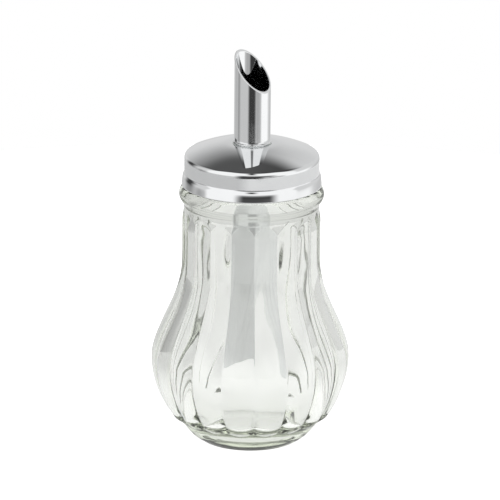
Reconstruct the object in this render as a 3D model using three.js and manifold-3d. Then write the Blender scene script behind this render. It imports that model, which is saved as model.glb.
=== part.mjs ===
import * as THREE from 'three';
import { mergeVertices } from 'three/addons/utils/BufferGeometryUtils.js';
import Module from 'manifold-3d';

// Outside of the glass jar, in millimetres, with its base at z = 0
const BELLY_RADIUS = 37.1;
const BELLY_HEIGHT = 32.5;
const BOWL_DEPTH = 37.2;
const HEEL_DIP = 1.4;
const HEEL_HEIGHT = 7.2;
const HEEL_SPAN = 3.4;
const HEEL_RINGS = 4;
const BOWL_START = 15;
const BODY_RINGS = 10;
const NECK_RADIUS = 25.9;
const NECK_HEIGHT = 70;
const SHOULDER_SKEW = 0.88;
const WAIST_RADIUS = 25.3;
const WAIST_START = 85.5;
const BEAD_HEIGHT = 95.5;
const BEAD_BULGE = 1.9;
const BEAD_SPAN_BELOW = 4.6;
const BEAD_SPAN_ABOVE = 5.4;
const BEAD_RINGS = 6;
const LEDGE_HEIGHT = 99.05;
const FINISH_RADIUS = 23.9;
const RIM_HEIGHT = 107.8;
const RIM_ROUND = 0.9;

// Petal-like lobes on the outside, from just above the foot to the top of the neck
const LOBE_COUNT = 18;
const LOBE_STEPS = 4;
const LOBE_TURN = THREE.MathUtils.degToRad(3);
const LOBE_BOTTOM = 8.6;
const LOBE_BOTTOM_RUN = 2;
const LOBE_TOP = 89.5;
const LOBE_TOP_RUN = 3;
const LOBE_DEPTH_BELLY = 1.6;
const LOBE_DEPTH_NECK = 0.9;
const PETAL_EDGE = 9.3;
const PETAL_RISE = 2;
const PETAL_SOFT = 1.6;
const PETAL_RINGS = 4;

// Smooth inside of the jar, an even wall with a thick floor
const WALL = 3.1;
const FLOOR_THICKNESS = 5.5;
const FLOOR_RADIUS = 16;
const CAVITY_START = 9;
const CAVITY_END = 84;
const CAVITY_RINGS = 13;
const CAVITY_SEGMENTS = 48;
const CAVITY_OVERSHOOT = 4;
const THROAT_RADIUS = 21.4;
const THROAT_START = 92;

// Pressed metal cap with a low domed top, a flat seat round the tube and a flared lip
const CAP_RADIUS = 25.27;
const CAP_SHEET = 0.7;
const DOME_RADIUS = 58;
const DOME_APEX = 116.3;
const DOME_RINGS = 5;
const SEAT_HEIGHT = 115.5;
const CAP_EDGE_ROUND = 1.6;
const CAP_EDGE_RINGS = 4;
const CAP_SIDE_BOTTOM = 103.6;
const LIP_BOTTOM = 99.4;
const LIP_FLARE = 0.95;
const LIP_STEP = 0.55;
const LIP_STEP_RUN = 0.12;
const LIP_RINGS = 4;
const CAP_HOLE_RADIUS = 7.1;
const CAP_SEGMENTS = 54;

// Pouring tube, cut on the slant at both ends, with a formed ring above the cap
const TUBE_RADIUS = 6.8;
const TUBE_WALL = 0.6;
const TUBE_TOP_MID = 142.9;
const TUBE_BOTTOM_MID = 30.6;
const TUBE_CUT_SLOPE = 1.05;
const RING_RADIUS = 7.35;
const RING_HEIGHT = 115.98;
const RING_HALF = 0.35;
const RING_STEPS = 6;
const TUBE_SEGMENTS = 48;

const MERGE_DISTANCE = 1e-4;
const SLOPE_STEP = 0.05;

const wasm = await Module();
wasm.setup();

const point = (radius, height) => new THREE.Vector2(radius, height);

// Even steps from one value to another, both ends included
function steps(from, to, count) {
  return Array.from({ length: count + 1 }, (_, i) => from + ((to - from) * i) / count);
}

// Spin a profile round the upright axis; the profile runs upward on its outer side
function spin(profile, segments, turn = 0) {
  const geometry = new THREE.LatheGeometry(profile, segments, turn, 2 * Math.PI);
  geometry.rotateX(Math.PI / 2);
  return geometry;
}

// A closed geometry as a solid, with shared corners joined
function toSolid(geometry) {
  geometry.deleteAttribute('normal');
  geometry.deleteAttribute('uv');
  const merged = mergeVertices(geometry, MERGE_DISTANCE);
  const mesh = new wasm.Mesh({
    numProp: 3,
    vertProperties: merged.getAttribute('position').array,
    triVerts: Uint32Array.from(merged.getIndex().array),
  });
  return new wasm.Manifold(mesh);
}

// A solid as a geometry of its own triangles
function toGeometry(solid) {
  const mesh = solid.getMesh();
  const geometry = new THREE.BufferGeometry();
  geometry.setAttribute('position', new THREE.BufferAttribute(mesh.vertProperties, 3));
  geometry.setIndex(new THREE.BufferAttribute(mesh.triVerts, 1));
  geometry.computeVertexNormals();
  return geometry;
}

// Outside radius of the jar over the lobe crests
function wallRadius(z) {
  if (z < BELLY_HEIGHT) {
    return BELLY_RADIUS * Math.sqrt(1 - ((BELLY_HEIGHT - z) / BOWL_DEPTH) ** 2);
  }
  if (z < NECK_HEIGHT) {
    const run = ((z - BELLY_HEIGHT) / (NECK_HEIGHT - BELLY_HEIGHT)) ** SHOULDER_SKEW;
    return NECK_RADIUS + ((BELLY_RADIUS - NECK_RADIUS) * (1 + Math.cos(Math.PI * run))) / 2;
  }
  const beadStart = BEAD_HEIGHT - BEAD_SPAN_BELOW;
  if (z < beadStart) {
    const fade = THREE.MathUtils.smoothstep(z, WAIST_START, beadStart);
    return THREE.MathUtils.lerp(NECK_RADIUS, WAIST_RADIUS, fade);
  }
  const span = z < BEAD_HEIGHT ? BEAD_SPAN_BELOW : BEAD_SPAN_ABOVE;
  return WAIST_RADIUS + BEAD_BULGE * Math.cos((Math.PI / 2) * ((z - BEAD_HEIGHT) / span)) ** 2;
}

// Bell-shaped dip of the heel between the foot and the petals
function heelDip(z) {
  return HEEL_DIP * Math.exp(-(((z - HEEL_HEIGHT) / HEEL_SPAN) ** 2));
}

// Inside radius of the jar, an even wall within the outside outline
function innerRadius(z) {
  const skin = (height) => wallRadius(height) - heelDip(height);
  const slope = (skin(z + SLOPE_STEP) - skin(z - SLOPE_STEP)) / (2 * SLOPE_STEP);
  return skin(z) - WALL * Math.hypot(1, slope);
}

// How far the glass lies below the crests, in the grooves and below the petals' round ends;
// across runs from -1 to 1, groove to groove
function lobeDip(z, across) {
  const neckShare = THREE.MathUtils.smoothstep(z, BELLY_HEIGHT, NECK_HEIGHT);
  const depth = THREE.MathUtils.lerp(LOBE_DEPTH_BELLY, LOBE_DEPTH_NECK, neckShare);
  const fromBottom = (LOBE_DEPTH_BELLY * (z - LOBE_BOTTOM)) / LOBE_BOTTOM_RUN;
  const fromTop = (LOBE_DEPTH_NECK * (LOBE_TOP - z)) / LOBE_TOP_RUN;
  const groove = Math.min(depth * across ** 2, fromBottom, fromTop);
  const edge = PETAL_EDGE + PETAL_RISE * across ** 2;
  const below = 1 - THREE.MathUtils.smoothstep(z, edge - PETAL_SOFT, edge + PETAL_SOFT);
  return Math.max(0, groove, below * heelDip(Math.min(z, HEEL_HEIGHT)));
}

// Outline of the jar's outside, with rings where the form turns
function jarOutline() {
  const heights = [
    ...steps(0, HEEL_HEIGHT, HEEL_RINGS),
    ...steps(PETAL_EDGE - PETAL_SOFT, PETAL_EDGE + PETAL_RISE + PETAL_SOFT, PETAL_RINGS),
    ...steps(BOWL_START, NECK_HEIGHT, BODY_RINGS),
    LOBE_TOP - LOBE_TOP_RUN,
    LOBE_TOP,
    ...steps(BEAD_HEIGHT - BEAD_SPAN_BELOW, LEDGE_HEIGHT, BEAD_RINGS),
  ];
  return [
    point(0, 0),
    ...heights.map((z) => point(wallRadius(z), z)),
    point(FINISH_RADIUS, LEDGE_HEIGHT),
    point(FINISH_RADIUS, RIM_HEIGHT - RIM_ROUND),
    point(FINISH_RADIUS - RIM_ROUND, RIM_HEIGHT),
    point(0, RIM_HEIGHT),
  ];
}

// Glass jar: a lobed outside less a smooth inside
function glassJar() {
  const outline = jarOutline();
  const outside = spin(outline, LOBE_COUNT * LOBE_STEPS, LOBE_TURN);
  const corners = outside.getAttribute('position');
  for (let i = 0; i < corners.count; i += 1) {
    const column = Math.floor(i / outline.length);
    const across = (2 * (column % LOBE_STEPS)) / LOBE_STEPS - 1;
    const { x: radius, y: z } = outline[i % outline.length];
    const scale = radius > 0 ? 1 - lobeDip(z, across) / radius : 1;
    corners.setXY(i, corners.getX(i) * scale, corners.getY(i) * scale);
  }
  const inside = [
    point(0, FLOOR_THICKNESS),
    point(FLOOR_RADIUS, FLOOR_THICKNESS),
    ...steps(CAVITY_START, CAVITY_END, CAVITY_RINGS).map((z) => point(innerRadius(z), z)),
    point(THROAT_RADIUS, THROAT_START),
    point(THROAT_RADIUS, RIM_HEIGHT - RIM_ROUND),
    point(THROAT_RADIUS + RIM_ROUND, RIM_HEIGHT),
    point(THROAT_RADIUS + RIM_ROUND, RIM_HEIGHT + CAVITY_OVERSHOOT),
    point(0, RIM_HEIGHT + CAVITY_OVERSHOOT),
  ];
  const cavity = toSolid(spin(inside, CAVITY_SEGMENTS));
  return toGeometry(toSolid(outside).subtract(cavity));
}

// Arc where the dome turns down into the side, set inward by the sheet on its inner face
function edgeArc(inset) {
  const middle = DOME_APEX - DOME_RADIUS;
  const arcRadius = CAP_RADIUS - CAP_EDGE_ROUND;
  const arcHeight = middle + Math.sqrt((DOME_RADIUS - CAP_EDGE_ROUND) ** 2 - arcRadius ** 2);
  const start = Math.atan2(arcHeight - middle, arcRadius);
  const round = CAP_EDGE_ROUND - inset;
  return steps(start, 0, CAP_EDGE_RINGS).map((turn) =>
    point(arcRadius + round * Math.cos(turn), arcHeight + round * Math.sin(turn)));
}

// One face of the cap's sheet, from the hole over the dome and down to the lip
function capFace(inset) {
  const edge = edgeArc(inset);
  const middle = DOME_APEX - DOME_RADIUS;
  const dome = steps(CAP_HOLE_RADIUS, edge[0].x, DOME_RINGS).slice(0, -1).map((radius) => {
    const crown = middle + Math.sqrt((DOME_RADIUS - inset) ** 2 - radius ** 2);
    return point(radius, Math.min(crown, SEAT_HEIGHT - inset));
  });
  const lip = steps(0, 1, LIP_RINGS).map((run) => {
    const flare = LIP_STEP * (1 - Math.exp(-run / LIP_STEP_RUN)) + (1 - LIP_STEP) * run;
    return point(
      CAP_RADIUS - inset + LIP_FLARE * flare,
      THREE.MathUtils.lerp(CAP_SIDE_BOTTOM, LIP_BOTTOM, run),
    );
  });
  return [...dome, ...edge, ...lip];
}

// Screw cap: a shell of even sheet with a hole for the tube
function screwCap() {
  const inner = capFace(CAP_SHEET);
  const profile = [...inner, ...capFace(0).reverse(), inner[0].clone()];
  return toGeometry(toSolid(spin(profile, CAP_SEGMENTS)));
}

// Pouring tube: the end rings slide along the wall to make the slanted cuts
function pourTube() {
  const bore = TUBE_RADIUS - TUBE_WALL;
  const ring = steps(-Math.PI / 2, Math.PI / 2, RING_STEPS).map((turn) =>
    point(
      TUBE_RADIUS + (RING_RADIUS - TUBE_RADIUS) * Math.cos(turn),
      RING_HEIGHT + RING_HALF * Math.sin(turn),
    ));
  const profile = [
    point(bore, TUBE_BOTTOM_MID),
    point(TUBE_RADIUS, TUBE_BOTTOM_MID),
    ...ring,
    point(TUBE_RADIUS, TUBE_TOP_MID),
    point(bore, TUBE_TOP_MID),
    point(bore, TUBE_BOTTOM_MID),
  ];
  const geometry = spin(profile, TUBE_SEGMENTS);
  const corners = geometry.getAttribute('position');
  for (let i = 0; i < corners.count; i += 1) {
    const { y: z } = profile[i % profile.length];
    const slanted = z === TUBE_TOP_MID || z === TUBE_BOTTOM_MID;
    if (slanted) corners.setZ(i, z - TUBE_CUT_SLOPE * corners.getX(i));
  }
  return toGeometry(toSolid(geometry));
}

// One named mesh with its own material
function addPiece(group, name, geometry, look) {
  const mesh = new THREE.Mesh(geometry, new THREE.MeshStandardMaterial(look));
  mesh.name = name;
  group.add(mesh);
}

const dispenser = new THREE.Group();
addPiece(dispenser, 'glass_jar', glassJar(), {
  color: 0xe3e6dc, roughness: 0.05, metalness: 0, transparent: true, opacity: 0.35,
});
addPiece(dispenser, 'screw_cap', screwCap(), { color: 0xd6d8da, roughness: 0.08, metalness: 1 });
addPiece(dispenser, 'pour_tube', pourTube(), { color: 0xd0d3d6, roughness: 0.1, metalness: 1 });

export default dispenser;
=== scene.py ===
# %% [markdown]
# # A glass sugar dispenser
#
# A pear-shaped jar of clear pressed glass with upright lobes carries a domed cap of bright
# metal. A pouring tube, cut on the slant at both ends, stands up through the cap and reaches
# down into the empty jar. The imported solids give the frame; the surfaces below are finer
# versions of the same forms, because glass and polished metal show every facet.

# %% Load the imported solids
import math

import bpy
import numpy as np
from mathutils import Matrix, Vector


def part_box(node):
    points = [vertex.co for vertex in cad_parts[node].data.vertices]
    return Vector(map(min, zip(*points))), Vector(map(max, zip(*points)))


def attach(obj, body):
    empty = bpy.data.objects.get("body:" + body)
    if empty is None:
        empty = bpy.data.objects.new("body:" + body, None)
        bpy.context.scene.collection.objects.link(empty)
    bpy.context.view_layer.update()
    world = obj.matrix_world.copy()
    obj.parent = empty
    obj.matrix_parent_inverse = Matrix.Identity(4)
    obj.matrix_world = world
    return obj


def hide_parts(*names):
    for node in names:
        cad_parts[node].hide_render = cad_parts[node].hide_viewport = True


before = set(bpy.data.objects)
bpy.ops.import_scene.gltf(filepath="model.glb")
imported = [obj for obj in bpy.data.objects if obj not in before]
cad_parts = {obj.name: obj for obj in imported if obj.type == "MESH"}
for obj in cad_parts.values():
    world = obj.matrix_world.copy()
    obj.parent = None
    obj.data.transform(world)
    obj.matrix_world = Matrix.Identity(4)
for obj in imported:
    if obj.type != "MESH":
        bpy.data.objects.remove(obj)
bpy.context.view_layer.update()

MM = 0.001
jar_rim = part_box("glass_jar")[1][2]
lip_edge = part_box("screw_cap")[0][2]

# %% [markdown]
# ## Round surfaces
#
# Everything here is turned: a profile of radius and height is carried round the upright axis.
# A spin in the viewport would do for plain turning, but the lobes and the slanted cuts change
# with the angle, so each surface is a grid of rows along the profile and columns round the
# axis, worked out as whole arrays.

# %% A grid of points as a mesh
ON_AXIS = 1e-9


def beside(ring):
    """Each point's neighbour round the axis."""
    return np.roll(ring, -1, axis=-1)


def round_mesh(name, radius, height, turns):
    """Mesh of the points (radius cos turn, radius sin turn, height).

    radius and height have one row for each profile point and one column for each turn.
    Columns always join round the axis. If the first and last rows lie on the axis, each
    becomes one point with a fan of triangles; otherwise the last row joins the first.
    """
    rows, columns = radius.shape
    points = np.stack([radius * np.cos(turns), radius * np.sin(turns), height], axis=-1)
    index = np.arange(rows * columns).reshape(rows, columns)
    on_axis = radius[0].max() < ON_AXIS
    if on_axis:
        index = np.arange((rows - 2) * columns).reshape(rows - 2, columns)
        poles = points[[0, -1], 0]
        points = points[1:-1]
    lower = index[:-1] if on_axis else index
    upper = index[1:] if on_axis else np.roll(index, -1, axis=0)
    quads = np.stack([lower, beside(lower), beside(upper), upper], axis=-1).reshape(-1, 4)
    faces = quads.tolist()
    points = points.reshape(-1, 3)
    if on_axis:
        first = np.full(columns, len(points))
        faces += np.stack([first, beside(index[0]), index[0]], axis=-1).tolist()
        faces += np.stack([first + 1, index[-1], beside(index[-1])], axis=-1).tolist()
        points = np.concatenate([points, poles])
    mesh = bpy.data.meshes.new(name)
    mesh.from_pydata(points, [], faces)
    mesh.polygons.foreach_set("use_smooth", np.ones(len(faces), dtype=bool))
    mesh.update()
    return mesh


def place_piece(name, mesh, node, material):
    """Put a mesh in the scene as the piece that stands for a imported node."""
    piece = bpy.data.objects.new(name, mesh)
    bpy.context.collection.objects.link(piece)
    mesh.materials.append(material)
    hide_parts(node)
    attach(piece, "root")
    print(f"{name}: {len(mesh.vertices)} points, {len(mesh.polygons)} faces")

# %% [markdown]
# ### Soft corners
#
# Pressed glass and folded sheet have no sharp corners. A Bevel modifier would round them, but it
# works edge by edge on a finished mesh. Here the profile is rounded before it is turned, so a
# corner stays even all the way round.

# %% Profiles with soft corners
def resample(profile, spacing):
    """Points at even spacing along a polyline of radius and height, both ends kept."""
    lengths = np.hypot(*np.diff(profile, axis=0).T)
    run = np.concatenate([[0.0], np.cumsum(lengths)])
    count = int(math.ceil(run[-1] / spacing)) + 1
    stops = np.linspace(0.0, run[-1], count)
    return np.stack([np.interp(stops, run, profile[:, axis]) for axis in (0, 1)], axis=-1)


def soften(profile, spacing, reach):
    """Round every corner: a weighted mean of the points within reach along the profile.

    The ends are mirrored through themselves first, so they stay where they are.
    """
    width = int(round(reach / spacing))
    weights = np.hanning(2 * width + 3)[1:-1]
    weights /= weights.sum()
    before = 2 * profile[0] - profile[width:0:-1]
    after = 2 * profile[-1] - profile[-2:-width - 2:-1]
    long = np.concatenate([before, profile, after])
    return np.stack([np.convolve(long[:, axis], weights, "valid") for axis in (0, 1)], axis=-1)


def smooth_between(value, low, high):
    """Smooth step: 0 below low, 1 above high, and 3 s^2 - 2 s^3 between."""
    share = np.clip((value - low) / (high - low), 0.0, 1.0)
    return share * share * (3.0 - 2.0 * share)

# %% [markdown]
# ## The glass jar
#
# The jar was pressed in a mould. Below, it is a bowl on a small round foot; above, it draws in
# to a straight neck, a waist and a round bead under the cap. Eighteen lobes run up it, each a
# flat arch between two sharp grooves, and each ends below in a petal. One closed surface holds
# both the outside and the smooth inside, because light has to enter and leave real glass.

# %% Sizes of the jar
BELLY_RADIUS = 37.1 * MM
BELLY_HEIGHT = 32.5 * MM
BOWL_DEPTH = 37.2 * MM
HEEL_DIP = 1.4 * MM
HEEL_HEIGHT = 7.2 * MM
HEEL_SPAN = 3.4 * MM
NECK_RADIUS = 25.9 * MM
NECK_HEIGHT = 70 * MM
SHOULDER_SKEW = 0.88
WAIST_RADIUS = 25.3 * MM
WAIST_START = 85.5 * MM
BEAD_HEIGHT = 95.5 * MM
BEAD_BULGE = 1.9 * MM
BEAD_SPAN_BELOW = 4.6 * MM
BEAD_SPAN_ABOVE = 5.4 * MM
LEDGE_HEIGHT = 99.05 * MM
FINISH_RADIUS = 23.9 * MM
RIM_HEIGHT = jar_rim
RIM_ROUND = 0.9 * MM
THROAT_RADIUS = 21.4 * MM
THROAT_START = 92 * MM
WALL = 3.1 * MM
FLOOR_THICKNESS = 5.5 * MM
FLOOR_RADIUS = 16 * MM
CAVITY_START = 9 * MM
CAVITY_END = 84 * MM


def wall_radius(z):
    """Outside radius over the lobe crests.

    Below the belly: a half ellipse. Above it: half a cosine wave down to the neck. At the top:
    a smooth step in to the waist, then a bead that swells as a squared cosine.
    """
    bowl = BELLY_RADIUS * np.sqrt(np.maximum(1 - ((BELLY_HEIGHT - z) / BOWL_DEPTH) ** 2, 0))
    rise = np.clip((z - BELLY_HEIGHT) / (NECK_HEIGHT - BELLY_HEIGHT), 0, 1) ** SHOULDER_SKEW
    pear = NECK_RADIUS + (BELLY_RADIUS - NECK_RADIUS) * (1 + np.cos(np.pi * rise)) / 2
    bead_start = BEAD_HEIGHT - BEAD_SPAN_BELOW
    waist = (WAIST_RADIUS - NECK_RADIUS) * smooth_between(z, WAIST_START, bead_start)
    span = np.where(z < BEAD_HEIGHT, BEAD_SPAN_BELOW, BEAD_SPAN_ABOVE)
    swell = np.cos(np.pi / 2 * np.clip((z - BEAD_HEIGHT) / span, -1, 1)) ** 2
    return np.where(z < BELLY_HEIGHT, bowl, pear) + waist + BEAD_BULGE * swell


def inner_radius(z):
    """Inside radius: the outside less the heel's dip and the wall, square to the slope."""
    skin = wall_radius(z) - HEEL_DIP * np.exp(-((z - HEEL_HEIGHT) / HEEL_SPAN) ** 2)
    return skin - WALL * np.hypot(1, np.gradient(skin, z))

# %% [markdown]
# ### Lobes
#
# The lobes could be cut with eighteen separate grooves, but each is only a small dip below the
# turned form. So one function of height and of the place across a lobe gives that dip, and it is
# taken off the radius.

# %% Lobes
LOBE_COUNT = 18
LOBE_COLUMNS = 16
LOBE_TURN = math.radians(3)
LOBE_BOTTOM = 8.6 * MM
LOBE_BOTTOM_RUN = 2 * MM
LOBE_TOP = 89.5 * MM
LOBE_TOP_RUN = 3 * MM
LOBE_DEPTH_BELLY = 1.6 * MM
LOBE_DEPTH_NECK = 0.9 * MM
GROOVE_ROUND = 0.03
CREASE_ROUND = 0.08 * MM
PETAL_EDGE = 9.3 * MM
PETAL_RISE = 2 * MM
PETAL_SOFT = 1.6 * MM


def soft_least(first, second, blend):
    """The lesser of two values, rounded where they cross."""
    return (first + second - np.sqrt((first - second) ** 2 + blend ** 2)) / 2


def lobe_dip(z, across):
    """How far the glass lies below the crests.

    Across a lobe, from groove to groove as -1 to 1, the dip grows with the square of the
    distance from the crest. It can't be deeper than a ramp at each end, and where ramp and
    arch cross, the petal's edge is drawn. Below, the petals end in round steps down to the
    heel, whose dip fades as a bell shape toward the foot; the deeper of the two dips holds.
    """
    depth = LOBE_DEPTH_BELLY + (LOBE_DEPTH_NECK - LOBE_DEPTH_BELLY) * smooth_between(
        z, BELLY_HEIGHT, NECK_HEIGHT)
    arch = 1 - np.sqrt((1 - across ** 2) ** 2 + GROOVE_ROUND ** 2)
    from_bottom = LOBE_DEPTH_BELLY * (z - LOBE_BOTTOM) / LOBE_BOTTOM_RUN
    from_top = LOBE_DEPTH_NECK * (LOBE_TOP - z) / LOBE_TOP_RUN
    ramp = np.maximum(np.minimum(from_bottom, from_top), 0)
    groove = np.maximum(soft_least(depth * arch, ramp, CREASE_ROUND), 0)
    edge = PETAL_EDGE + PETAL_RISE * across ** 2
    below = 1 - smooth_between(z, edge - PETAL_SOFT, edge + PETAL_SOFT)
    down = np.minimum(z, HEEL_HEIGHT) - HEEL_HEIGHT
    heel = HEEL_DIP * below * np.exp(-(down / HEEL_SPAN) ** 2)
    return -soft_least(-groove, -heel, CREASE_ROUND)


print("lobes:", LOBE_COUNT, "of", 360 / LOBE_COUNT, "degrees each")

# %% [markdown]
# ### The uneven inside
#
# The mould makes the outside, but the inside is left by the plunger and the air, and it ripples a
# little. A noise texture would do this in the shader, but light bends at the real surface, so a
# few slow waves are added to the inside radius.

# %% Unevenness of the inside
# Each wave: crests round the axis, crests to each metre of height, and where it starts.
UNEVEN_DEPTH = 0.12 * MM
UNEVEN_WAVES = ((5, 9.5, 0.3), (9, -15.0, 1.7), (14, 6.0, 4.0), (23, -21.0, 2.2))


def uneven_inside(z, turns):
    """Slow ripples of the inside, as the plunger leaves them: a mean of slanting sine waves.

    Each wave has a whole number of crests round the axis, so it closes. The ripples fade out
    toward the throat.
    """
    ripples = [np.sin(around * turns + 2 * np.pi * upward * z + phase)
               for around, upward, phase in UNEVEN_WAVES]
    fade = 1 - smooth_between(z, CAVITY_END, THROAT_START)
    return UNEVEN_DEPTH * np.mean(ripples, axis=0) * fade


print("ripples of the inside: up to", round(UNEVEN_DEPTH / MM, 2), "mm")

# %% [markdown]
# ### The jar's profile and surface
#
# The profile runs from the middle of the base up the outside, over the rim and down the inside to
# the middle of the floor. It is drawn finely, softened, and then thinned to the rows of the grid.

# %% The jar's closed profile
PROFILE_STEP = 0.1 * MM
OUTSIDE_STEP = 0.6 * MM
INSIDE_STEP = 1.25 * MM
CORNER_REACH = 0.9 * MM
INSIDE_CORNER_REACH = 1.8 * MM

outside_z = np.arange(0, LEDGE_HEIGHT, PROFILE_STEP)
outside = np.concatenate([
    [[0, 0]],
    np.stack([wall_radius(outside_z), outside_z], axis=-1),
    [[FINISH_RADIUS, LEDGE_HEIGHT], [FINISH_RADIUS, RIM_HEIGHT - RIM_ROUND]],
    [[FINISH_RADIUS - RIM_ROUND, RIM_HEIGHT], [THROAT_RADIUS + RIM_ROUND, RIM_HEIGHT]],
])
cavity_z = np.arange(CAVITY_END, CAVITY_START, -PROFILE_STEP)
inside = np.concatenate([
    [[THROAT_RADIUS + RIM_ROUND, RIM_HEIGHT], [THROAT_RADIUS, RIM_HEIGHT - RIM_ROUND]],
    [[THROAT_RADIUS, THROAT_START]],
    np.stack([inner_radius(cavity_z), cavity_z], axis=-1),
    [[FLOOR_RADIUS, FLOOR_THICKNESS], [0, FLOOR_THICKNESS]],
])
outside = soften(resample(outside, PROFILE_STEP), PROFILE_STEP, CORNER_REACH)
inside = soften(resample(inside, PROFILE_STEP), PROFILE_STEP, INSIDE_CORNER_REACH)
outside = resample(outside, OUTSIDE_STEP)
inside = resample(inside, INSIDE_STEP)
print("jar profile rows:", len(outside), "outside,", len(inside), "inside")

# %% The jar's surface
share = np.arange(LOBE_COLUMNS) / LOBE_COLUMNS
across = np.sin(np.pi / 2 * (2 * share - 1))
lobe_pitch = 2 * np.pi / LOBE_COUNT
lobe_start = np.arange(LOBE_COUNT)[:, None] * lobe_pitch + LOBE_TURN - np.pi / 2
jar_turns = (lobe_start + (across + 1) / 2 * lobe_pitch).ravel()
jar_across = np.tile(across, LOBE_COUNT)

jar_profile = np.concatenate([outside, inside[1:]])
jar_radius = np.repeat(jar_profile[:, :1], len(jar_turns), axis=1)
jar_height = np.repeat(jar_profile[:, 1:], len(jar_turns), axis=1)
lobed = slice(1, len(outside))
jar_radius[lobed] -= lobe_dip(jar_height[lobed], jar_across)
inner = slice(len(outside), len(jar_profile) - 1)
on_wall = jar_radius[inner] > FLOOR_RADIUS
jar_radius[inner] += uneven_inside(jar_height[inner], jar_turns) * on_wall
jar_mesh = round_mesh("glass_jar_surface", jar_radius, jar_height, jar_turns)
print("belly radius in millimetres:", round(jar_radius.max() / MM, 2))

# %% [markdown]
# ## The cap
#
# The cap is pressed from thin bright sheet: a low dome, a small rounded edge, a straight side
# and a lip that flares over the bead of the glass. Both faces of the sheet are drawn, so the
# hole for the tube and the edge of the lip show its thickness.

# %% Sizes and profile of the cap
CAP_RADIUS = 25.27 * MM
CAP_SHEET = 0.7 * MM
DOME_RADIUS = 58 * MM
DOME_APEX = 116.3 * MM
SEAT_HEIGHT = 115.5 * MM
SEAT_BLEND = 0.3 * MM
CAP_EDGE_ROUND = 1.6 * MM
CAP_SIDE_BOTTOM = 103.6 * MM
LIP_BOTTOM = lip_edge
LIP_FLARE = 0.95 * MM
LIP_STEP = 0.55
LIP_STEP_RUN = 0.12
CAP_HOLE_RADIUS = 7.1 * MM
CAP_COLUMNS = 192
CAP_STEP = 0.35 * MM
SHEET_EDGE_REACH = 0.2 * MM
CURVE_POINTS = 40
DOME_POINTS = 80


def cap_face(inset):
    """One face of the sheet from the lip up to the hole, set in from the outer face.

    The lip flares by a quick exponential step and then evenly. A straight side leads to the arc
    of the edge, and that to the dome, an arc that flattens to a round seat for the tube.
    """
    middle = DOME_APEX - DOME_RADIUS
    arc_radius = CAP_RADIUS - CAP_EDGE_ROUND
    arc_height = middle + math.sqrt((DOME_RADIUS - CAP_EDGE_ROUND) ** 2 - arc_radius ** 2)
    tilt = math.atan2(arc_height - middle, arc_radius)
    run = np.linspace(1, 0, CURVE_POINTS)
    flare = LIP_STEP * (1 - np.exp(-run / LIP_STEP_RUN)) + (1 - LIP_STEP) * run
    lip = np.stack([
        CAP_RADIUS - inset + LIP_FLARE * flare,
        CAP_SIDE_BOTTOM + (LIP_BOTTOM - CAP_SIDE_BOTTOM) * run,
    ], axis=-1)
    turn = np.linspace(0, tilt, CURVE_POINTS)
    edge = np.stack([
        arc_radius + (CAP_EDGE_ROUND - inset) * np.cos(turn),
        arc_height + (CAP_EDGE_ROUND - inset) * np.sin(turn),
    ], axis=-1)
    across_dome = np.linspace(edge[-1, 0], CAP_HOLE_RADIUS, DOME_POINTS)[1:]
    crown = middle + np.sqrt((DOME_RADIUS - inset) ** 2 - across_dome ** 2)
    dome = np.stack([across_dome, soft_least(crown, SEAT_HEIGHT - inset, SEAT_BLEND)], axis=-1)
    return np.concatenate([lip, edge, dome])


outer_face = cap_face(0)
cap_loop = np.concatenate([outer_face, cap_face(CAP_SHEET)[::-1], outer_face[:1]])
cap_loop = soften(resample(cap_loop, PROFILE_STEP), PROFILE_STEP, SHEET_EDGE_REACH)
cap_profile = resample(cap_loop, CAP_STEP)[:-1]
cap_turns = np.linspace(0, 2 * np.pi, CAP_COLUMNS, endpoint=False)
cap_radius = np.repeat(cap_profile[:, :1], CAP_COLUMNS, axis=1)
cap_height = np.repeat(cap_profile[:, 1:], CAP_COLUMNS, axis=1)
cap_mesh = round_mesh("screw_cap_surface", cap_radius, cap_height, cap_turns)
print("cap profile rows:", len(cap_profile))

# %% [markdown]
# ## The pouring tube
#
# The tube is thin drawn metal. A small ring is rolled into it where it stands on the cap, and
# both ends are cut on the same slant, so that the top pours to one side. A row of the wall near
# an end leans fully with the cut; the lean fades to nothing at the ring.

# %% Sizes and surface of the tube
TUBE_RADIUS = 6.8 * MM
TUBE_WALL = 0.6 * MM
TUBE_TOP_MID = 142.9 * MM
TUBE_BOTTOM_MID = 30.6 * MM
TUBE_CUT_SLOPE = 1.05
RING_RADIUS = 7.35 * MM
RING_HEIGHT = 115.98 * MM
RING_HALF = 0.35 * MM
RING_POINTS = 24
TUBE_COLUMNS = 160
TUBE_SPARSE = 10
RING_REACH = 0.8 * MM
CUT_REACH = 0.4 * MM
CUT_EDGE_REACH = 0.15 * MM

bore = TUBE_RADIUS - TUBE_WALL
bend = np.linspace(-np.pi / 2, np.pi / 2, RING_POINTS)
ring = np.stack([
    TUBE_RADIUS + (RING_RADIUS - TUBE_RADIUS) * np.cos(bend),
    RING_HEIGHT + RING_HALF * np.sin(bend),
], axis=-1)
tube_loop = np.concatenate([
    [[bore, TUBE_BOTTOM_MID], [TUBE_RADIUS, TUBE_BOTTOM_MID]],
    ring,
    [[TUBE_RADIUS, TUBE_TOP_MID], [bore, TUBE_TOP_MID], [bore, TUBE_BOTTOM_MID]],
])
tube_loop = soften(resample(tube_loop, PROFILE_STEP), PROFILE_STEP, CUT_EDGE_REACH)[:-1]

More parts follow.
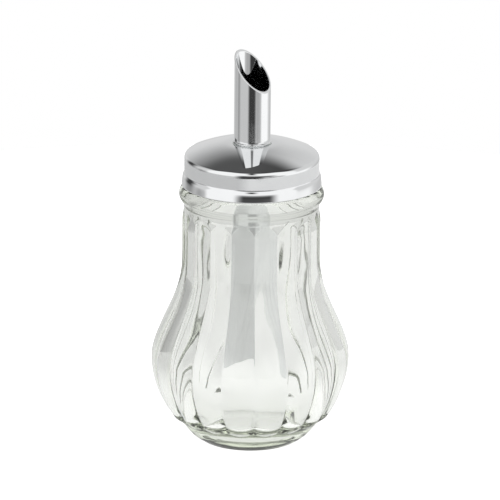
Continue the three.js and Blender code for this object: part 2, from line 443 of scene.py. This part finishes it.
# The plain wall keeps every tenth row; the ring and the two cuts keep them all.
loop_height = tube_loop[:, 1]
at_ring = np.abs(loop_height - RING_HEIGHT) < RING_REACH
at_top = loop_height > TUBE_TOP_MID - CUT_REACH
at_bottom = loop_height < TUBE_BOTTOM_MID + CUT_REACH
sparse = np.arange(len(tube_loop)) % TUBE_SPARSE == 0
tube_profile = tube_loop[at_ring | at_top | at_bottom | sparse]
tube_turns = np.linspace(0, 2 * np.pi, TUBE_COLUMNS, endpoint=False)
tube_radius = np.repeat(tube_profile[:, :1], TUBE_COLUMNS, axis=1)
level = tube_profile[:, 1:]
lean = np.where(
    level > RING_HEIGHT,
    (level - RING_HEIGHT - RING_HALF) / (TUBE_TOP_MID - RING_HEIGHT - RING_HALF),
    (RING_HEIGHT - RING_HALF - level) / (RING_HEIGHT - RING_HALF - TUBE_BOTTOM_MID),
).clip(0, 1)
tube_height = level - TUBE_CUT_SLOPE * lean * tube_radius * np.cos(tube_turns)
tube_mesh = round_mesh("pour_tube_surface", tube_radius, tube_height, tube_turns)
print("tube from", round(tube_height.min() / MM, 1), "to", round(tube_height.max() / MM, 1), "mm")

# %% [markdown]
# ## Finishes
#
# Clear glass and bright metal share one effect: handling leaves a faint uneven haze, and no
# pressed or drawn surface is truly even. One node group makes both from noise on the object's
# own coordinates, and each material takes it at its own scale.

# %% Handling haze, shared by glass and metal
CLOUD_CLEAN = 0.4
CLOUD_HAZY = 0.75
RIPPLE_HEIGHT = 1 * MM


def add_node(tree, kind, **values):
    """One shader node with its input values set by socket name."""
    made = tree.nodes.new(kind)
    for socket, value in values.items():
        made.inputs[socket.replace("_", " ")].default_value = value
    return made


def math_node(tree, operation, *values):
    """One math node fed by numbers or by the outputs of other nodes; gives its output."""
    made = tree.nodes.new("ShaderNodeMath")
    made.operation = operation
    for socket, value in zip(made.inputs, values):
        if isinstance(value, (int, float)):
            socket.default_value = value
        else:
            tree.links.new(value, socket)
    return made.outputs[0]


def handling_haze():
    """Node group: cloudy noise between two roughness values, and a slow wave for bump."""
    tree = bpy.data.node_groups.new("handling_haze", "ShaderNodeTree")
    for name in ("Cloud Scale", "Wave Scale", "Clean", "Hazy"):
        tree.interface.new_socket(name, in_out="INPUT", socket_type="NodeSocketFloat")
    for name in ("Roughness", "Wave", "Cloud"):
        tree.interface.new_socket(name, in_out="OUTPUT", socket_type="NodeSocketFloat")
    inputs = tree.nodes.new("NodeGroupInput")
    outputs = tree.nodes.new("NodeGroupOutput")
    where = tree.nodes.new("ShaderNodeTexCoord")
    cloud = add_node(tree, "ShaderNodeTexNoise", Detail=5.0, Roughness=0.6)
    wave = add_node(tree, "ShaderNodeTexNoise", Detail=1.0, Roughness=0.4)
    spread = add_node(tree, "ShaderNodeMapRange", From_Min=CLOUD_CLEAN, From_Max=CLOUD_HAZY)
    links = tree.links
    links.new(where.outputs["Object"], cloud.inputs["Vector"])
    links.new(where.outputs["Object"], wave.inputs["Vector"])
    links.new(inputs.outputs["Cloud Scale"], cloud.inputs["Scale"])
    links.new(inputs.outputs["Wave Scale"], wave.inputs["Scale"])
    links.new(cloud.outputs["Fac"], spread.inputs["Value"])
    links.new(inputs.outputs["Clean"], spread.inputs["To Min"])
    links.new(inputs.outputs["Hazy"], spread.inputs["To Max"])
    links.new(spread.outputs["Result"], outputs.inputs["Roughness"])
    links.new(wave.outputs["Fac"], outputs.inputs["Wave"])
    links.new(cloud.outputs["Fac"], outputs.inputs["Cloud"])
    return tree


HAZE = handling_haze()
print("haze group:", len(HAZE.nodes), "nodes")


def hazy_material(name, light, dark, bump, haze):
    """A Principled material whose colour, roughness and normal come from the haze group."""
    material = bpy.data.materials.new(name)
    material.use_nodes = True
    tree = material.node_tree
    shader = tree.nodes["Principled BSDF"]
    group = tree.nodes.new("ShaderNodeGroup")
    group.node_tree = HAZE
    for socket, value in haze.items():
        group.inputs[socket].default_value = value
    tint = tree.nodes.new("ShaderNodeMix")
    tint.data_type = "RGBA"
    tint.inputs["A"].default_value = (*light, 1)
    tint.inputs["B"].default_value = (*dark, 1)
    ripple = add_node(tree, "ShaderNodeBump", Strength=bump, Distance=RIPPLE_HEIGHT)
    tree.links.new(group.outputs["Cloud"], tint.inputs["Factor"])
    tree.links.new(tint.outputs["Result"], shader.inputs["Base Color"])
    tree.links.new(group.outputs["Roughness"], shader.inputs["Roughness"])
    tree.links.new(group.outputs["Wave"], ripple.inputs["Height"])
    tree.links.new(ripple.outputs["Normal"], shader.inputs["Normal"])
    return material, shader

# %% [markdown]
# ### Clear glass
#
# Soda glass bends light by 1.52 and is a little green where it is thick. The green comes from
# absorption inside the solid, so thin walls stay clear and the foot and the bead darken.

# %% Glass material
GLASS_IOR = 1.52
GLASS_TINT = (0.80, 0.92, 0.58)
GLASS_DENSITY = 11.0
GLASS_CLEAN = (1.0, 1.0, 1.0)
GLASS_HAZY = (0.97, 0.98, 0.965)
GLASS_RIPPLE = 0.15

glass, glass_shader = hazy_material(
    "clear_pressed_glass", GLASS_CLEAN, GLASS_HAZY, GLASS_RIPPLE,
    {"Cloud Scale": 60.0, "Wave Scale": 70.0, "Clean": 0.025, "Hazy": 0.06})
glass_shader.inputs["IOR"].default_value = GLASS_IOR
glass_shader.inputs["Transmission Weight"].default_value = 1.0
absorb = add_node(glass.node_tree, "ShaderNodeVolumeAbsorption", Density=GLASS_DENSITY)
absorb.inputs["Color"].default_value = (*GLASS_TINT, 1)
glass.node_tree.links.new(
    absorb.outputs["Volume"], glass.node_tree.nodes["Material Output"].inputs["Volume"])
print("glass index", GLASS_IOR, "absorption per metre", GLASS_DENSITY)

# %% [markdown]
# ### Bright metal
#
# Cap and tube are polished and nearly colourless, so almost all of their look is what they
# mirror. A trace of haze keeps the mirror from looking like a drawing.

# %% Metal materials
METAL_CLEAN = (0.86, 0.87, 0.87)
METAL_HAZY = (0.78, 0.79, 0.8)
METAL_RIPPLE = 0.02

cap_metal, cap_shader = hazy_material(
    "polished_cap_metal", METAL_CLEAN, METAL_HAZY, METAL_RIPPLE,
    {"Cloud Scale": 140.0, "Wave Scale": 50.0, "Clean": 0.005, "Hazy": 0.035})
cap_shader.inputs["Metallic"].default_value = 1.0
tube_metal, tube_shader = hazy_material(
    "polished_tube_metal", METAL_CLEAN, METAL_HAZY, METAL_RIPPLE,
    {"Cloud Scale": 140.0, "Wave Scale": 60.0, "Clean": 0.04, "Hazy": 0.1})
tube_shader.inputs["Metallic"].default_value = 1.0
print("metals:", cap_metal.name, "and", tube_metal.name)

# %% [markdown]
# ## Pieces in place
#
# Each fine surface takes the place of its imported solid, with the finish that the real piece has.
# Nothing on the dispenser moves by itself, so all three ride on the one body.

# %% Put the pieces in place
place_piece("jar_of_glass", jar_mesh, "glass_jar", glass)
place_piece("domed_cap", cap_mesh, "screw_cap", cap_metal)
place_piece("pouring_spout", tube_mesh, "pour_tube", tube_metal)

# %% [markdown]
# ## Camera
#
# The camera stands far off with a long lens, so that upright lines stay upright. It looks down
# a little and stands to the side that the spout's mouth faces. The picture is 500 by 500, and
# the aim is set from the pixel where the middle of the dispenser's axis falls.

# %% Camera
VIEW_AZIMUTH = math.radians(40)
VIEW_ELEVATION = math.radians(17.5)
VIEW_ROLL = math.radians(0.517)
VIEW_DISTANCE = 4.0
PICTURE_SIDE = 500
PIXELS_PER_METRE = 2676
MID_PIXEL = (251.18, 245.43)
MID_HEIGHT = 75 * MM
SENSOR_WIDTH = 36
FARTHEST_SEEN = 20

camera_data = bpy.data.cameras.new("camera")
camera_data.sensor_width = SENSOR_WIDTH
camera_data.lens = SENSOR_WIDTH * VIEW_DISTANCE * PIXELS_PER_METRE / PICTURE_SIDE
camera_data.clip_end = FARTHEST_SEEN
camera = bpy.data.objects.new("camera", camera_data)
bpy.context.collection.objects.link(camera)
bpy.context.scene.camera = camera

to_camera = np.array([
    math.sin(VIEW_AZIMUTH) * math.cos(VIEW_ELEVATION),
    -math.cos(VIEW_AZIMUTH) * math.cos(VIEW_ELEVATION),
    math.sin(VIEW_ELEVATION),
])
level_right = np.array([math.cos(VIEW_AZIMUTH), math.sin(VIEW_AZIMUTH), 0])
level_up = np.cross(to_camera, level_right)
right = math.cos(VIEW_ROLL) * level_right + math.sin(VIEW_ROLL) * level_up
up = np.cross(to_camera, right)
aside = (PICTURE_SIDE / 2 - MID_PIXEL[0]) / PIXELS_PER_METRE
above = (MID_PIXEL[1] - PICTURE_SIDE / 2) / PIXELS_PER_METRE
aim = np.array([0, 0, MID_HEIGHT]) + aside * right + above * up
spot = aim + VIEW_DISTANCE * to_camera
stand = np.stack([right, up, to_camera, spot], axis=-1)
camera.matrix_world = np.concatenate([stand, [[0, 0, 0, 1]]]).T.tolist()
print("lens", round(camera_data.lens, 1), "mm")

# %% [markdown]
# ## Studio
#
# Bright metal and glass only show their surroundings, so the surroundings are the light. The
# world is painted as a plain studio seen from the object: a pale backdrop, a bright panel on
# the right, a dimmer one on the left, a dark ceiling and a dark gap where the camera stands.
# Area lights would need real panels in the scene; painted ones are plain numbers. Rays that
# come through the glass see the panels with less contrast, and the camera itself sees white.

# %% A soft-edged panel of the studio
def studio_panel():
    """Node group: mask of a panel by its azimuth and elevation, with soft edges.

    Angles are in degrees. The mask is the product of two smooth steps, one of the wrapped
    distance in azimuth and one of the distance in elevation.
    """
    tree = bpy.data.node_groups.new("studio_panel", "ShaderNodeTree")
    names = ("Azimuth", "Elevation", "Centre", "Half Width", "Height", "Half Height", "Edge")
    for name in names:
        tree.interface.new_socket(name, in_out="INPUT", socket_type="NodeSocketFloat")
    tree.interface.new_socket("Mask", in_out="OUTPUT", socket_type="NodeSocketFloat")
    inputs = tree.nodes.new("NodeGroupInput")
    outputs = tree.nodes.new("NodeGroupOutput")

    def soft_side(distance, half):
        """One well within half of the middle, nought well beyond it, and smooth between."""
        edge = inputs.outputs["Edge"]
        ramp = tree.nodes.new("ShaderNodeMapRange")
        ramp.interpolation_type = "SMOOTHSTEP"
        tree.links.new(distance, ramp.inputs["Value"])
        tree.links.new(math_node(tree, "SUBTRACT", half, edge), ramp.inputs["From Min"])
        tree.links.new(math_node(tree, "ADD", half, edge), ramp.inputs["From Max"])
        ramp.inputs["To Min"].default_value = 1
        ramp.inputs["To Max"].default_value = 0
        return ramp.outputs["Result"]

    turn = math_node(tree, "SUBTRACT", inputs.outputs["Azimuth"], inputs.outputs["Centre"])
    wrapped = math_node(tree, "ABSOLUTE", math_node(tree, "WRAP", turn, 180, -180))
    lift = math_node(tree, "SUBTRACT", inputs.outputs["Elevation"], inputs.outputs["Height"])
    wide = soft_side(wrapped, inputs.outputs["Half Width"])
    tall = soft_side(math_node(tree, "ABSOLUTE", lift), inputs.outputs["Half Height"])
    tree.links.new(math_node(tree, "MULTIPLY", wide, tall), outputs.inputs["Mask"])
    return tree


PANEL = studio_panel()
print("panel mask:", len(PANEL.nodes), "nodes")

# %% The studio's panels
# Each line: brightness, centre azimuth from the camera (right is positive), half width,
# middle elevation, half height, soft edge; angles in degrees.
BACKDROP = 0.75
PANELS = (
    (0.64, -90, 90, -50, 46, 6),
    (0.32, -95, 8, -50, 46, 12),
    (1.15, 84, 30, -50, 46, 12),
    (0.52, 42, 14, -50, 46, 8),
    (0.60, 150, 20, -50, 46, 15),
    (0.07, 180, 100, 80, 32, 9),
    (0.07, 0, 180, 90, 20, 8),
    (1.10, 0, 80, 28, 40, 5),
    (0.10, -150, 40, 66, 34, 24),
    (0.06, -125, 13, 8, 20, 10),
    (0.08, 0, 8, 52, 22, 8),
    (0.05, -2, 22, -52, 45, 9),
    (0.05, 8, 30, -4, 9, 10),
)
GLASS_BASE = 0.38
GLASS_SHARE = 0.44


def paint_studio(world):
    """World shader: direction to azimuth and elevation, then panel over panel."""
    world.use_nodes = True
    tree = world.node_tree
    links = tree.links
    where = tree.nodes.new("ShaderNodeTexCoord")

    def along(axis):
        """The direction's part along an axis."""
        made = tree.nodes.new("ShaderNodeVectorMath")
        made.operation = "DOT_PRODUCT"
        links.new(where.outputs["Generated"], made.inputs[0])
        made.inputs[1].default_value = axis
        return made.outputs["Value"]

    toward = (math.sin(VIEW_AZIMUTH), -math.cos(VIEW_AZIMUTH), 0)
    side = (math.cos(VIEW_AZIMUTH), math.sin(VIEW_AZIMUTH), 0)
    azimuth = math_node(tree, "DEGREES", math_node(tree, "ARCTAN2", along(side), along(toward)))
    elevation = math_node(tree, "DEGREES", math_node(tree, "ARCSINE", along((0, 0, 1))))
    shade = None
    for brightness, *place in PANELS:
        mask = tree.nodes.new("ShaderNodeGroup")
        mask.node_tree = PANEL
        links.new(azimuth, mask.inputs["Azimuth"])
        links.new(elevation, mask.inputs["Elevation"])
        for socket, value in zip(list(mask.inputs)[2:], place):
            socket.default_value = value
        over = add_node(tree, "ShaderNodeMix", A=BACKDROP, B=brightness)
        links.new(mask.outputs["Mask"], over.inputs["Factor"])
        if shade is not None:
            links.new(shade, over.inputs["A"])
        shade = over.outputs["Result"]
    path = tree.nodes.new("ShaderNodeLightPath")
    mild = math_node(
        tree, "MULTIPLY_ADD", math_node(tree, "MINIMUM", shade, 1.0), GLASS_SHARE, GLASS_BASE)
    through = tree.nodes.new("ShaderNodeMix")
    links.new(path.outputs["Is Transmission Ray"], through.inputs["Factor"])
    links.new(shade, through.inputs["A"])
    links.new(mild, through.inputs["B"])
    seen = add_node(tree, "ShaderNodeMix", B=1.0)
    links.new(path.outputs["Is Camera Ray"], seen.inputs["Factor"])
    links.new(through.outputs["Result"], seen.inputs["A"])
    links.new(seen.outputs["Result"], tree.nodes["Background"].inputs["Strength"])
    tree.nodes["Background"].inputs["Color"].default_value = (1, 1, 1, 1)


studio = bpy.data.worlds.new("studio")
bpy.context.scene.world = studio
paint_studio(studio)
print("studio panels:", len(PANELS))

# %% [markdown]
# ### The white table
#
# The dispenser stands on a round white table. A plain white sheet lit by the studio comes out
# grey through glass, so the table glows a little: more on the bright side, more near the jar for
# rays that come through the glass, and enough for the camera to see it as white.

# %% The table top
TABLE_RADIUS = 0.378
TABLE_COLUMNS = 96
TABLE_DROP = 0.2 * MM

table_turns = np.linspace(0, 2 * np.pi, TABLE_COLUMNS, endpoint=False)
table_points = np.stack([
    TABLE_RADIUS * np.cos(table_turns), TABLE_RADIUS * np.sin(table_turns),
    np.full(TABLE_COLUMNS, -TABLE_DROP),
], axis=-1)
table_mesh = bpy.data.meshes.new("white_table")
table_mesh.from_pydata(table_points, [], [list(range(TABLE_COLUMNS))])
table = bpy.data.objects.new("white_table", table_mesh)
bpy.context.collection.objects.link(table)
print("table", round(2 * TABLE_RADIUS, 3), "m across")

# %% The table's glow
TABLE_WHITE = 0.8
TABLE_ROUGHNESS = 0.9
TABLE_DIM = -0.14
TABLE_BRIGHT = -0.02
TABLE_GLOW = (0.12, 0.32)
NEAR_JAR = 0.06
FAR_FROM_JAR = 0.11
GLOW_IN_GLASS = (0.3, 0.05)
GLOW_TO_CAMERA = 0.6


def glowing_table(across):
    """White material whose glow grows along one direction and fades away from the jar."""
    material = bpy.data.materials.new("white_table_top")
    material.use_nodes = True
    tree = material.node_tree
    links = tree.links
    shader = tree.nodes["Principled BSDF"]
    shader.inputs["Base Color"].default_value = (TABLE_WHITE, TABLE_WHITE, TABLE_WHITE, 1)
    shader.inputs["Roughness"].default_value = TABLE_ROUGHNESS
    shader.inputs["Emission Color"].default_value = (1, 1, 1, 1)
    path = tree.nodes.new("ShaderNodeLightPath")
    place = tree.nodes.new("ShaderNodeTexCoord")
    sideways = tree.nodes.new("ShaderNodeVectorMath")
    sideways.operation = "DOT_PRODUCT"
    sideways.inputs[1].default_value = across
    away = tree.nodes.new("ShaderNodeVectorMath")
    away.operation = "LENGTH"
    side_glow = add_node(
        tree, "ShaderNodeMapRange", From_Min=TABLE_DIM, From_Max=TABLE_BRIGHT,
        To_Min=TABLE_GLOW[0], To_Max=TABLE_GLOW[1])
    pool = add_node(
        tree, "ShaderNodeMapRange", From_Min=NEAR_JAR, From_Max=FAR_FROM_JAR,
        To_Min=GLOW_IN_GLASS[0], To_Max=GLOW_IN_GLASS[1])
    links.new(place.outputs["Object"], sideways.inputs[0])
    links.new(place.outputs["Object"], away.inputs[0])
    links.new(sideways.outputs["Value"], side_glow.inputs["Value"])
    links.new(away.outputs["Value"], pool.inputs["Value"])
    in_glass = math_node(
        tree, "MULTIPLY_ADD", path.outputs["Is Transmission Ray"], pool.outputs["Result"],
        side_glow.outputs["Result"])
    glow = math_node(
        tree, "MULTIPLY_ADD", path.outputs["Is Camera Ray"], GLOW_TO_CAMERA, in_glass)
    links.new(glow, shader.inputs["Emission Strength"])
    return material


table_mesh.materials.append(glowing_table(level_right))
print("table glow from", TABLE_GLOW[0], "to", TABLE_GLOW[1])

# %% [markdown]
# ## Light paths and colours
#
# Inside the jar light is mirrored many times, and a short count leaves black patches. The plain
# view transform keeps the white of the studio white.

# %% Light paths and colours
MIRROR_BOUNCES = 10

bpy.context.scene.cycles.glossy_bounces = MIRROR_BOUNCES
bpy.context.scene.view_settings.view_transform = "Standard"
bpy.context.scene.view_settings.look = "None"
print("mirror bounces:", bpy.context.scene.cycles.glossy_bounces)
